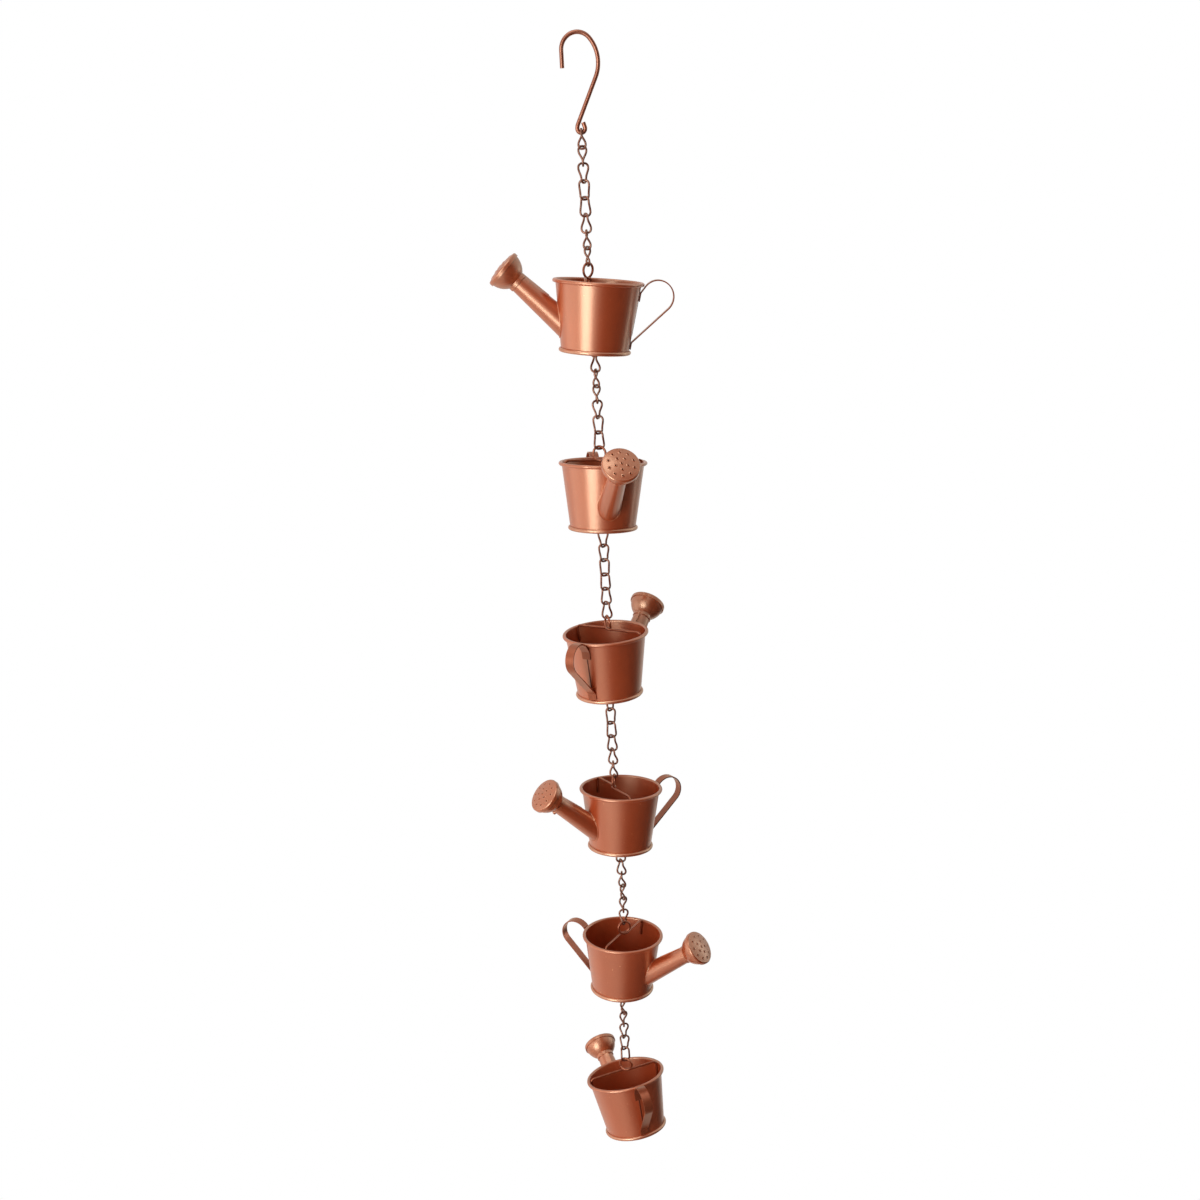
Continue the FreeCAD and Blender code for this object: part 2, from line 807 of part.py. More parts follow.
eye_lowest = eye_centre - UP * eye_radius
weights = [can_weight(hanger, can < CAN_COUNT) for can, hanger in enumerate(hangers, start=1)]
hanging = hook_eye
eye_wire = number("hook_wire")
eye_way = ALONG_X
for can, hanger in enumerate(hangers, start=1):
    volume, middle = weights[can - 1]
    below = sum(later + RUN_LINKS * link.Shape.Volume for later, centre in weights[can:])
    ring_top = ring_centre(can) + UP * number("ring_radius")
    weight = (middle * volume + eye_lowest * below) / (volume + below)
    settle = FreeCAD.Rotation(weight - ring_top, -UP)
    turned = FreeCAD.Rotation(UP, number(f"facing_{can}")).multiply(settle)
    ring_angle = way_angle(turned.multVec(ring_way()))
    count = FIRST_RUN_LINKS if can == 1 else RUN_LINKS
    chain, lowest, wire_way = run_of_links(can, count, hanging, eye_wire, way_angle(eye_way), ring_angle)
    nodes.append(chain)
    hinges.append((f"chain_{can}", hanging, eye_way))
    hinges.append((f"can_{can}", lowest, wire_way))
    contact = lowest + UP * ((number("link_wire") + number("hanger_wire")) / 2 + number("link_play"))
    ring_up = upward_in(turned.multVec(UP.cross(ring_way())))
    base = contact - ring_up * number("ring_radius") - turned.multVec(ring_centre(can))
    place = FreeCAD.Placement(base, turned)
    hanger.Placement = place
    nodes.append(hanger)
    for piece, pattern in patterns.items():
        nodes.append(copy_of(pattern, f"can_{can}_{piece}", place))
    if can < CAN_COUNT:
        nodes.append(copy_of(eye, f"can_{can}_base_eye", place))
        eye_normal = turned.multVec(ALONG_Y)
        hanging = place.multVec(eye_centre) - upward_in(eye_normal) * eye_radius
        eye_way = eye_normal.cross(upward_in(eye_normal))
        eye_wire = number("eye_wire")
    print(f"can {can} hangs {math.degrees(settle.Angle):.2f} degrees from upright at {base}")

doc.recompute()
for item in doc.Objects:
    if {"Invalid", "Error"} & set(item.State):
        raise RuntimeError(f"{item.Label} failed: {item.State}")
for node in nodes:
    if node.Shape.isNull() or not node.Shape.isValid():
        raise RuntimeError(f"{node.Label} has no valid shape")

os.makedirs("parts", exist_ok=True)
for node in nodes:
    node.Shape.exportStep(f"parts/{node.Label}.step")
print(f"{len(nodes)} nodes written")
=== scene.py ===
import math
import random

import bmesh
import bpy
from mathutils import Matrix, Vector


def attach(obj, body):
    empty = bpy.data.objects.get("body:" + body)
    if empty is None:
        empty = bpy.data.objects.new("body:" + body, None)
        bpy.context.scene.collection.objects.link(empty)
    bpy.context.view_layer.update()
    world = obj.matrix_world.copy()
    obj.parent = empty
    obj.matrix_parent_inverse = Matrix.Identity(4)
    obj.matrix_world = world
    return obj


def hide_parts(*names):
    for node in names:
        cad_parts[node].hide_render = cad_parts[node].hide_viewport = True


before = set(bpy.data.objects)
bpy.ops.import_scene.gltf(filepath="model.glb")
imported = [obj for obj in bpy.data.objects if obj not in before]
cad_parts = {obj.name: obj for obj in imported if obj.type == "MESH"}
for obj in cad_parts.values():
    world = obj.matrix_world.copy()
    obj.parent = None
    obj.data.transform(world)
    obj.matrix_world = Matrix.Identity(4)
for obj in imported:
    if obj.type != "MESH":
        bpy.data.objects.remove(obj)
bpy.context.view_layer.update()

MM = 0.001
WHITE = (1.0, 1.0, 1.0, 1.0)


# Node trees of the finishes, the floor and the surround
class Nodes:
    """The emptied node tree of a material or a world, with short ways to add nodes to it."""

    def __init__(self, owner):
        owner.use_nodes = True
        self.tree = owner.node_tree
        self.tree.nodes.clear()

    def fill(self, node, inputs):
        """Joins outputs of other nodes to a node's inputs, or sets plain values there, by name or number."""
        for key, value in inputs.items():
            if isinstance(value, bpy.types.NodeSocket):
                self.tree.links.new(value, node.inputs[key])
            else:
                node.inputs[key].default_value = value

    def add(self, kind, inputs=None):
        node = self.tree.nodes.new(kind)
        self.fill(node, inputs or {})
        return node

    def span(self, value, low, high, new_low, new_high, curve="LINEAR"):
        """The stretch of a value from low to high, laid over new_low to new_high and held at its ends."""
        node = self.add("ShaderNodeMapRange")
        node.interpolation_type = curve
        self.fill(node, {"Value": value, "From Min": low, "From Max": high,
                         "To Min": new_low, "To Max": new_high})
        return node.outputs["Result"]

    def maths(self, operation, first, second):
        node = self.add("ShaderNodeMath", {0: first, 1: second})
        node.operation = operation
        return node.outputs["Value"]

    def vectors(self, operation, *values):
        node = self.add("ShaderNodeVectorMath")
        node.operation = operation
        self.fill(node, dict(enumerate(values)))
        return node

    def blend(self, share, first, second):
        """One shader that turns into another."""
        return self.add("ShaderNodeMixShader", {"Fac": share, 1: first, 2: second}).outputs["Shader"]


# Patterns of the copper finish: waves per metre, detail and roughness
GRAIN = (2600.0, 2.0, 0.7)
CLOUDS = (9.0, 2.0)
RUBS = (140.0, 4.0, 0.65)
SPECKS = (420.0, 1.0, 0.3)
RIPPLES = (300.0, 2.0)
DENTS = (26.0, 1.0)
PATCH_DETAIL = 4.0
PLAIN_ROUGHNESS = 0.55
# How a pattern shows: the stretch of its values that counts, and the shares that this stretch becomes
PATCH_SHOWS = (0.32, 0.70, 0.0, 0.65)
GRAIN_SHOWS = (0.50, 0.75, 0.0, 0.20)
GRAIN_ROUGHENS = (0.3, 0.7, -0.03, 0.03)
EDGE_SHOWS = (0.80, 0.99, 1.0, 0.0)
CREASE_SHADE_SHOWS = (0.25, 0.85, 1.0, 0.0)
# The stretch alone, where each finish has shares of its own
EDGE_RUB_STRETCH = (0.38, 0.66)
FACE_RUB_STRETCH = (0.50, 0.72)
SPECK_STRETCH = (0.76, 0.80)
CLOUD_STRETCH = (0.3, 0.7)
# Depths and reaches in metres, and strengths
# Painted shade in corners and creases: how far the occlusion reaches, and how much of the deep colour it lays
# there
CREASE_SHADE_REACH = 0.005
CREASE_SHADE_SHARE = 0.6
RIPPLE_DEPTH = 0.00004
RIPPLE_STRENGTH = 0.06
DENT_DEPTH = 0.0005
EDGE_SAMPLES = 6
COAT = {"Coat Weight": 0.10, "Coat Roughness": 0.22, "Coat IOR": 1.6}
# The colour of light that the copper flakes throw back
FLAKES = (1.0, 0.81, 0.55, 1.0)


class Finish(Nodes):
    """A material that ends in one Principled shader, with patterns in the piece's own coordinates."""

    def __init__(self, name):
        self.material = bpy.data.materials.new(name)
        super().__init__(self.material)
        self.shader = self.add("ShaderNodeBsdfPrincipled")
        self.add("ShaderNodeOutputMaterial", {"Surface": self.shader.outputs["BSDF"]})
        self.coordinates = self.add("ShaderNodeTexCoord").outputs["Object"]

    def noise(self, scale, detail, roughness=PLAIN_ROUGHNESS):
        inputs = {"Vector": self.coordinates, "Scale": scale, "Detail": detail, "Roughness": roughness}
        return self.add("ShaderNodeTexNoise", inputs).outputs["Fac"]

    def mix(self, share, first, second):
        node = self.add("ShaderNodeMix")
        node.data_type = "RGBA"
        self.fill(node, {"Factor": share, "A": first, "B": second})
        return node.outputs["Result"]

    def edges(self, radius):
        """1 along convex and concave edges within the radius, 0 on the open face."""
        rounded = self.add("ShaderNodeBevel", {"Radius": radius})
        rounded.samples = EDGE_SAMPLES
        geometry = self.add("ShaderNodeNewGeometry")
        even = self.vectors("DOT_PRODUCT", rounded.outputs["Normal"], geometry.outputs["Normal"])
        return self.span(even.outputs["Value"], *EDGE_SHOWS)

    def painted_crease_shade(self):
        """Painted shade: 1 in corners and creases, where shade falls, 0 in the open."""
        node = self.add("ShaderNodeAmbientOcclusion", {"Distance": CREASE_SHADE_REACH})
        node.samples = EDGE_SAMPLES
        return self.span(node.outputs["AO"], *CREASE_SHADE_SHOWS)

    def bump(self, layers):
        """Layers of height pattern, depth in metres and strength, one over the other."""
        below = {}
        for height, depth, strength in layers:
            inputs = {"Height": height, "Distance": depth, "Strength": strength, **below}
            below = {"Normal": self.add("ShaderNodeBump", inputs).outputs["Normal"]}
        self.fill(self.shader, below)


def rgb(red, green, blue):
    """Screen colour, 0 to 255, as the linear colour of a shader, by the sRGB curve."""
    def linear(value):
        value /= 255
        return value / 12.92 if value <= 0.04045 else ((value + 0.055) / 1.055) ** 2.4
    return (linear(red), linear(green), linear(blue), 1.0)


def copper_finish(name, plain, deep, worn, rough=(0.29, 0.36), patch=22.0, wear=0.0005, rubs=(0.12, 0.40),
                  specks=0.0, dents=0.0, metal=0.10, gloss=2.6):
    """Satin copper paint on metal: soft tone patches, fine flakes, rubbed edges or spots (on the base partly
    painted glints) and painted shade in corners and creases.
    """
    finish = Finish(name)
    grain = finish.noise(*GRAIN)
    tone = finish.mix(finish.span(finish.noise(patch, PATCH_DETAIL), *PATCH_SHOWS), plain, deep)
    tone = finish.mix(finish.span(grain, *GRAIN_SHOWS), tone, worn)
    # Painted shade: corners and creases darken towards the deep colour by ambient occlusion
    tone = finish.mix(finish.maths("MULTIPLY", finish.painted_crease_shade(), CREASE_SHADE_SHARE), tone, deep)
    stretch = EDGE_RUB_STRETCH if wear else FACE_RUB_STRETCH
    rubbed = finish.span(finish.noise(*RUBS), *stretch, *rubs)
    if wear:
        rubbed = finish.maths("MULTIPLY", finish.edges(wear), rubbed)
    tone = finish.mix(rubbed, tone, worn)
    if specks:
        tone = finish.mix(finish.span(finish.noise(*SPECKS), *SPECK_STRETCH, 0.0, specks), tone, worn)
    roughness = finish.maths("ADD", finish.span(finish.noise(*CLOUDS), *CLOUD_STRETCH, *rough),
                             finish.span(grain, *GRAIN_ROUGHENS))
    finish.fill(finish.shader, {"Base Color": tone, "Roughness": roughness, "Metallic": metal, "IOR": gloss,
                                "Specular Tint": FLAKES, **COAT})
    layers = [(finish.noise(*RIPPLES), RIPPLE_DEPTH, RIPPLE_STRENGTH)]
    if dents:
        layers.insert(0, (finish.noise(*DENTS), DENT_DEPTH, dents))
    finish.bump(layers)
    return finish.material


# Each finish: its plain, deep and worn colours (the deep one also takes the painted shade of corners and
# creases), and where it departs from the usual copper
SHEET = copper_finish("copper_sheet", rgb(177, 67, 28), rgb(160, 56, 22), rgb(226, 150, 102),
                      specks=0.5, dents=0.02)
# The base's pale worn colour and strong edge rubs are partly real wear and partly painted glints along the
# base's edge
BASE = copper_finish("copper_base", rgb(174, 66, 28), rgb(154, 53, 22), rgb(244, 206, 174),
                     wear=0.0008, rubs=(0.15, 0.95), gloss=3.4)
SPOUT = copper_finish("copper_spout", rgb(172, 65, 26), rgb(152, 53, 20), rgb(220, 142, 96))
ROSE = copper_finish("copper_rose", rgb(172, 71, 32), rgb(150, 56, 24), rgb(222, 148, 104),
                     rough=(0.26, 0.36))
SOLDER = copper_finish("copper_solder", rgb(178, 70, 27), rgb(150, 52, 18), rgb(228, 162, 116),
                       wear=0.0, rubs=(0.0, 0.4))
# A solder line whose dark colour is partly painted shade, the shadow at the lap's step
SEAM_AND_SHADE = copper_finish("copper_seam_and_shade", rgb(92, 34, 17), rgb(66, 23, 11), rgb(150, 84, 54),
                     wear=0.0, rubs=(0.0, 0.2), metal=0.3, gloss=1.6)
STRAP = copper_finish("copper_strap", rgb(158, 74, 44), rgb(122, 52, 30), rgb(206, 138, 104),
                      patch=40.0, metal=0.5, gloss=1.9)
WIRE = copper_finish("copper_wire", rgb(145, 63, 34), rgb(114, 43, 21), rgb(206, 136, 102),
                     patch=60.0, wear=0.0, rubs=(0.0, 0.3), metal=0.5, gloss=1.9)
CHAIN = copper_finish("copper_chain", rgb(114, 47, 34), rgb(78, 31, 23), rgb(202, 132, 112),
                      rough=(0.28, 0.38), patch=90.0, wear=0.0, rubs=(0.0, 0.35), metal=0.4, gloss=2.2)
HOOK = copper_finish("copper_hook", rgb(146, 66, 44), rgb(110, 47, 31), rgb(208, 142, 114),
                     rough=(0.28, 0.36), patch=18.0, wear=0.0, rubs=(0.0, 0.08), metal=0.4, gloss=2.2)

# The finish of each CAD node of a can, by the end of its name
CAN_FINISHES = {
    "_wall": SHEET, "_base": BASE, "_spout": SPOUT, "_rose_cup": ROSE, "_rose_face": ROSE,
    "_handle": STRAP, "_hanger": WIRE, "_base_eye": WIRE,
}


def finish_of(node):
    if node == "hanging_hook":
        return HOOK
    if node.startswith("chain_run"):
        return CHAIN
    return next(material for ending, material in CAN_FINISHES.items() if node.endswith(ending))


for node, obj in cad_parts.items():
    material = finish_of(node)
    for slot in obj.material_slots:
        slot.material = material
    if not obj.material_slots:
        obj.data.materials.append(material)


# Lengths from here to the chain are in millimetres
# Each can at rest: the middle of its rim's top, the way its spout points, and its upright
CANS = {
    1: ((7.884, 0.314, -184.707), (-0.99436, 0.0, 0.10608), (0.10608, 0.00002, 0.99436)),
    2: ((4.224, 5.188, -332.903), (0.17476, -0.98364, 0.04362), (0.05108, 0.0533, 0.99727)),
    3: ((-1.195, -1.937, -481.018), (0.51469, 0.85658, 0.03687), (-0.01897, -0.03161, 0.99932)),
    4: ((5.787, 3.365, -629.54), (-0.87281, -0.48381, 0.0643), (0.05622, 0.03121, 0.99793)),
    5: ((0.737, 2.75, -777.401), (0.88105, -0.46846, -0.06549), (0.05782, -0.03076, 0.99785)),
    6: ((-3.95, -2.372, -924.943), (-0.29861, 0.94323, -0.14542), (-0.14198, 0.10678, 0.98409)),
}
# The spout in its can's frame: its axis from the wall outwards, its underside and its side
SPOUT_START = Vector((31.391, 0.0, -32.5))
SPOUT_AXIS = Vector((0.78801, 0.0, 0.61566))
SPOUT_UNDER = Vector((0.61566, 0.0, -0.78801))
SPOUT_SIDE = Vector((0.0, 1.0, 0.0))
SPOUT_ROOT_RADIUS = 9.8
SPOUT_TAPER = 0.05
COLLAR_START = 43.0
# The wall's outside, which narrows downwards, and the gap between it and the spout
WALL_TOP_RADIUS = 35.713
WALL_TAPER = 0.13298
SEAT_GAP = 0.1
# The rose's domed face along the spout's axis, and its rings of holes by count and radius
ROSE_TOP = 61.5
ROSE_DOME = 1.9
ROSE_DOME_RADIUS = 55.52
ROSE_RINGS = ((1, 0.0), (5, 5.4), (10, 11.0))


def can_matrix(can):
    """From millimetres in a can's own frame to metres in the shared frame."""
    place, ahead, up = (Vector(part) for part in CANS[can])
    ahead.normalize()
    side = up.cross(ahead).normalized()
    matrix = Matrix((ahead, side, ahead.cross(side))).transposed().to_4x4()
    matrix.translation = place
    return Matrix.Scale(MM, 4) @ matrix


def add_piece(name, body, matrix, points, faces, material, smooth=True):
    mesh = bpy.data.meshes.new(name)
    mesh.from_pydata([matrix @ point for point in points], [], faces)
    shape = bmesh.new()
    shape.from_mesh(mesh)
    bmesh.ops.recalc_face_normals(shape, faces=shape.faces)
    for face in shape.faces:
        face.smooth = smooth
    shape.to_mesh(mesh)
    shape.free()
    mesh.materials.append(material)
    piece = bpy.data.objects.new(name, mesh)
    bpy.context.scene.collection.objects.link(piece)
    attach(piece, body)
    return piece


def add_to_can(name, can, points, faces, material, smooth=True):
    add_piece(name, f"can_{can}", can_matrix(can), points, faces, material, smooth)


def even_steps(first, last, steps):
    return [first + (last - first) * step / steps for step in range(steps + 1)]


def circle(centre, radius, first, second, sides):
    """Points round a centre, from the first direction towards the second."""
    turns = [math.tau * side / sides for side in range(sides)]
    return [centre + radius * (math.cos(turn) * first + math.sin(turn) * second) for turn in turns]


def tube_faces(rings, sides, closed=False, start=0):
    """Quads of a tube whose points are listed ring by ring; a closed one joins its last ring to its first."""
    faces = []
    for ring in range(rings if closed else rings - 1):
        here, there = start + ring * sides, start + (ring + 1) % rings * sides
        for side in range(sides):
            beside = (side + 1) % sides
            faces.append((here + side, here + beside, there + beside, there + side))
    return faces


def capped_faces(rings, sides):
    """Quads of a tube with a cap at either end."""
    last = (rings - 1) * sides
    return tube_faces(rings, sides) + [tuple(range(sides)), tuple(range(last, last + sides))]


def wall_radius(height):
    return WALL_TOP_RADIUS + WALL_TAPER * height


def spout_radius(along):
    return SPOUT_ROOT_RADIUS - SPOUT_TAPER * along


def round_spout(angle):
    """Direction away from the spout's axis; 0 is its underside and pi its top."""
    return math.cos(angle) * SPOUT_UNDER + math.sin(angle) * SPOUT_SIDE


def on_spout(along, angle, lift=0.0):
    return SPOUT_START + along * SPOUT_AXIS + (spout_radius(along) + lift) * round_spout(angle)


ROOT_SEARCH = (-12.0, 24.0)
ROOT_HALVINGS = 40


def root_along(angle):
    """How far along the spout its skin meets the wall, at an angle round the spout."""
    low, high = ROOT_SEARCH
    for _ in range(ROOT_HALVINGS):
        middle = (low + high) / 2
        point = on_spout(middle, angle)
        if math.hypot(point.x, point.y) < wall_radius(point.z) + SEAT_GAP:
            low = middle
        else:
            high = middle
    return high


# Solder beads at the spout's root and at the rose's collar
BEAD_POINTS = 72
BEAD_SIDES = 10
BEAD_LIFT = 0.1
ROOT_BEAD = 0.5
COLLAR_BEAD = 0.34
COLLAR_LIFT = 0.25
# Waves along a bead: how many to a round, and the spread of their phases and heights
WAVE_COUNTS = (2, 3, 5, 9)
WAVE_PHASES = (0, 6.28)
WAVE_SHARES = (0.04, 0.16)
SOLDER_SEED = 40
# Where a bead of a can shows a drop: angle round the spout, height and width
ROOT_DROPS = {2: ((0.9, 0.4, 0.15),), 4: ((2.30, 0.75, 0.10),), 5: ((4.05, 0.6, 0.12),)}
COLLAR_DROPS = {1: ((2.6, 0.4, 0.2),), 4: ((0.25, 1.8, 0.17),), 6: ((3.6, 0.5, 0.2),)}


def lumpy(angle, thin, waves, drops):
    """Thickness of a solder bead: a thin line that swells a little here and there."""
    radius = thin
    for count, phase, share in waves:
        radius += thin * share * math.sin(count * angle + phase)
    for place, height, width in drops:
        away = (angle - place + math.pi) % math.tau - math.pi
        radius += height * math.exp(-(away / width) ** 2)
    return radius


def root_line(angle):
    """Where the solder at the spout's root lies, and the way that it faces."""
    point = on_spout(root_along(angle), angle)
    return point, (Vector((point.x, point.y, 0)).normalized() + round_spout(angle)).normalized()


def collar_line(angle):
    """Where the solder at the rose's collar lies, and the way that it faces."""
    return on_spout(COLLAR_START, angle, COLLAR_LIFT), (round_spout(angle) - SPOUT_AXIS).normalized()


BEADS = (("root", root_line, ROOT_BEAD, ROOT_DROPS), ("collar", collar_line, COLLAR_BEAD, COLLAR_DROPS))


def solder(can):
    draw = random.Random(SOLDER_SEED + can)
    angles = [math.tau * step / BEAD_POINTS for step in range(BEAD_POINTS)]
    for joint, line, thin, drops in BEADS:
        waves = [(count, draw.uniform(*WAVE_PHASES), draw.uniform(*WAVE_SHARES)) for count in WAVE_COUNTS]
        laid = [line(angle) for angle in angles]
        centres = [point + BEAD_LIFT * out for point, out in laid]
        points = []
        for index, (angle, centre) in enumerate(zip(angles, centres)):
            along = (centres[(index + 1) % BEAD_POINTS] - centres[index - 1]).normalized()
            across = along.cross(laid[index][1]).normalized()
            radius = lumpy(angle, thin, waves, drops.get(can, ()))
            points += circle(centre, radius, across.cross(along), across, BEAD_SIDES)
        faces = tube_faces(BEAD_POINTS, BEAD_SIDES, closed=True)
        add_to_can(f"can_{can}_{joint}_solder", can, points, faces, SOLDER)


# The spout's lapped edge: where along the spout it steps up, and its section by width and height
LAP_WIDTH = 3.2
LAP_STEP = 18.0
LAP_STEP_HALF = 0.5
LAP_ROOT_GAP = 0.2
LAP_COLLAR_REACH = 0.6
LAP_FLAT_HEIGHT = 0.42
LAP_PROUD_HEIGHT = 0.85
LAP_FLAT_STEPS = 10
LAP_PROUD_STEPS = 16
LAP_SECTION = ((-0.5, -0.25), (-0.42, 0.10), (0.1, 0.55), (0.40, 0.90), (0.48, 1.0), (0.5, 0.85),
               (0.5, -0.25))


def lap_seam(can):
    """The spout's lapped edge along its top, proud near the rose and pressed flat near the wall."""
    stations = even_steps(root_along(math.pi) + LAP_ROOT_GAP, LAP_STEP - LAP_STEP_HALF, LAP_FLAT_STEPS)
    stations += even_steps(LAP_STEP + LAP_STEP_HALF, COLLAR_START + LAP_COLLAR_REACH, LAP_PROUD_STEPS)
    points = []
    for along in stations:
        height = LAP_FLAT_HEIGHT if along < LAP_STEP else LAP_PROUD_HEIGHT
        for across, rise in LAP_SECTION:
            lift = rise * height if rise > 0 else rise
            points.append(on_spout(along, math.pi + across * LAP_WIDTH / spout_radius(along), lift))
    faces = capped_faces(len(stations), len(LAP_SECTION))
    add_to_can(f"can_{can}_spout_seam", can, points, faces, SOLDER, smooth=False)


# The wall's soldered line: its ends below the rim, and its section by width and height
WALL_SEAM_TOP = -15.5
WALL_SEAM_END = -42.5
WALL_SEAM_STEPS = 27
WALL_SEAM_SECTION = ((-0.70, -0.20), (-0.60, 0.04), (-0.25, 0.26), (0.25, 0.26), (0.60, 0.04), (0.70, -0.20))


def wall_seam(can):
    """The soldered line up the wall behind the handle, between the strap's two feet; its dark colour is
    partly painted shade of the lap's step.
    """
    points = []
    for height in even_steps(WALL_SEAM_TOP, WALL_SEAM_END, WALL_SEAM_STEPS):
        wall = wall_radius(height)
        for across, rise in WALL_SEAM_SECTION:
            turn = math.pi + across / wall
            points.append(Vector(((wall + rise) * math.cos(turn), (wall + rise) * math.sin(turn), height)))
    faces = capped_faces(WALL_SEAM_STEPS + 1, len(WALL_SEAM_SECTION))
    add_to_can(f"can_{can}_wall_seam", can, points, faces, SEAM_AND_SHADE)


# The burr round a hole of the rose: its section by radius and height
BURR_SIDES = 18
BURR_SECTION = ((1.8, -0.10), (1.55, 0.03), (1.25, 0.14), (1.0, 0.24), (0.85, 0.25), (0.74, 0.16),
                (0.72, -0.45))


def rose_burrs(can):
    """Metal pushed up round each of the rose's holes."""
    points, faces = [], []
    for count, ring in ROSE_RINGS:
        slope = math.asin(ring / ROSE_DOME_RADIUS)
        top = ROSE_TOP + ROSE_DOME - ROSE_DOME_RADIUS * (1 - math.cos(slope))
        for index in range(count):
            out = round_spout(math.tau * index / count)
            centre = SPOUT_START + top * SPOUT_AXIS + ring * out
            normal = math.cos(slope) * SPOUT_AXIS + math.sin(slope) * out
            first = math.cos(slope) * out - math.sin(slope) * SPOUT_AXIS
            second = normal.cross(first)
            faces += tube_faces(len(BURR_SECTION), BURR_SIDES, start=len(points))
            for radius, lift in BURR_SECTION:
                points += circle(centre + lift * normal, radius, first, second, BURR_SIDES)
    add_to_can(f"can_{can}_rose_burrs", can, points, faces, ROSE)


for can in CANS:
    solder(can)
    lap_seam(can)
    wall_seam(can)
    rose_burrs(can)


# Each run of chain: the middle of the CAD's wire at the first link's top, and each link's facing in degrees
RUNS = {
    1: ((0.0, 0.0, -69.009), (110, 64, 37, 10, -17, -44, -71, -98)),
    2: ((1.774, 0.312, -243.182), (128, 100, 72, 44, 16, -12)),
    3: ((1.094, 2.084, -391.54), (30, 18, 6, -6, -18, -30)),
    4: ((-0.103, -0.116, -539.779), (28, 10, -8, -26, -44, -62)),
    5: ((2.548, 1.567, -688.221), (160, 136, 112, 88, 64, 40)),
    6: ((-2.594, 4.522, -836.078), (108, 86, 64, 42, 20, -2)),
}
# A link, measured to the middle of its wire; the rise is for a wire that is thicker than the CAD's
LINK_WIRE = 1.8
LINK_HALF_WIDTH = 4.1
LINK_CORNER = 3.2
LINK_DROP = 14.75
LINK_PITCH = 12.75
LINK_RISE = 0.1
LINK_TWIST = math.radians(50.0)
LINK_SIDES = 12
LINK_CORNER_STEPS = 6
LINK_LEG_STEPS = 12


def link_path():
    """Middle of a link's wire: flat ends with round corners, the lower end turned by the link's twist."""
    twist = Matrix.Rotation(LINK_TWIST, 3, "Z")
    upper = []
    for turn in even_steps(0.0, math.pi / 2, LINK_CORNER_STEPS):
        across, down = LINK_CORNER * (1 - math.cos(turn)), LINK_CORNER * (1 - math.sin(turn))
        upper.append(Vector((-LINK_HALF_WIDTH + across, 0, -down)))
    upper += [Vector((-point.x, 0, point.z)) for point in reversed(upper)]
    lower = [twist @ Vector((-point.x, 0, -LINK_DROP - point.z)) for point in upper]
    path = []
    for end, other in ((upper, lower), (lower, upper)):
        path += end
        first, last = end[-1], other[0]
        for share in even_steps(0.0, 1.0, LINK_LEG_STEPS)[1:-1]:
            side = first.lerp(last, (1 - math.cos(math.pi * share)) / 2)
            path.append(Vector((side.x, side.y, first.z + (last.z - first.z) * share)))
    return path


def run_of_links(run):
    """One run of chain in place of the CAD's, with its links' flattened ends and fuller width."""
    top, facings = RUNS[run]
    path = link_path()
    across = LINK_TWIST / 2 + math.pi / 2
    leaning = Vector((math.cos(across), math.sin(across), 0.0))
    points, faces = [], []
    for link, facing in enumerate(facings):
        spin = Matrix.Rotation(math.radians(facing) - LINK_TWIST / 2, 3, "Z")
        place = Vector(top) + Vector((0.0, 0.0, LINK_RISE - LINK_PITCH * link))
        faces += tube_faces(len(path), LINK_SIDES, closed=True, start=len(points))
        for index, middle in enumerate(path):
            along = (path[(index + 1) % len(path)] - path[index - 1]).normalized()
            first = along.cross(leaning).normalized()
            ring = circle(middle, LINK_WIRE / 2, first, first.cross(along), LINK_SIDES)
            points += [spin @ point + place for point in ring]
    matrix = Matrix.Scale(MM, 4)
    piece = add_piece(f"chain_{run}_links", f"chain_{run}", matrix, points, faces, CHAIN)
    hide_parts(f"chain_run_{run}")


for run in RUNS:
    run_of_links(run)


# The studio, in metres: a pale floor well below the hanging cans, a white surround and soft lamps
DIRECT_RAYS = ("Is Camera Ray", "Is Transmission Ray")
SEEN_RAYS = DIRECT_RAYS + ("Is Glossy Ray",)
AMBIENT_LEVEL = 0.10
FRONT_LEVEL = 0.85
FLOOR_FRONT_LEVEL = 0.66
BACK_LEVEL = 1.0
SHADE_LEVEL = 0.03
# How far back a direction points where the front's level ends and where the back's level starts
BACK_STRETCH = (-0.35, 0.25)
# Each dark screen: the way it lies, and how squarely a ray points there at its edge and at its full depth
SIDE_SCREEN = ((0.643, -0.766, 0.0), 0.57, 0.90)
FLOOR_SCREEN = ((0.906, -0.423, 0.0), 0.09, 0.68)
FLOOR_HEIGHT = -1.55
FLOOR_REACH = 9.0
FLOOR_COLOUR = (0.78, 0.78, 0.78, 1.0)
# Distances from the middle of the floor, and how far the white surround covers its shadow there
FLOOR_FADE = (0.10, 0.55, 0.55, 1.0)


def any_ray(nodes, *kinds):
    """1 for rays of the named kinds, else 0."""
    path = nodes.add("ShaderNodeLightPath")
    found = path.outputs[kinds[0]]
    for kind in kinds[1:]:
        found = nodes.maths("MAXIMUM", found, path.outputs[kind])
    return found


def studio_level(nodes, direction, screen, front):
    """How bright the studio is in a direction: white behind, dimmer in front, a dark screen at the right."""
    towards, edge, full = screen
    depth = nodes.add("ShaderNodeSeparateXYZ", {"Vector": direction}).outputs["Y"]
    level = nodes.span(depth, *BACK_STRETCH, front, BACK_LEVEL)
    facing = nodes.vectors("DOT_PRODUCT", direction, towards).outputs["Value"]
    shade = nodes.span(facing, edge, full, 1.0, SHADE_LEVEL, curve="SMOOTHSTEP")
    return nodes.maths("MULTIPLY", level, shade)


def lit_or_plain(nodes, level):
    """The level for mirrored rays, and full white for rays from the camera or through glass."""
    return nodes.maths("MAXIMUM", level, any_ray(nodes, *DIRECT_RAYS))


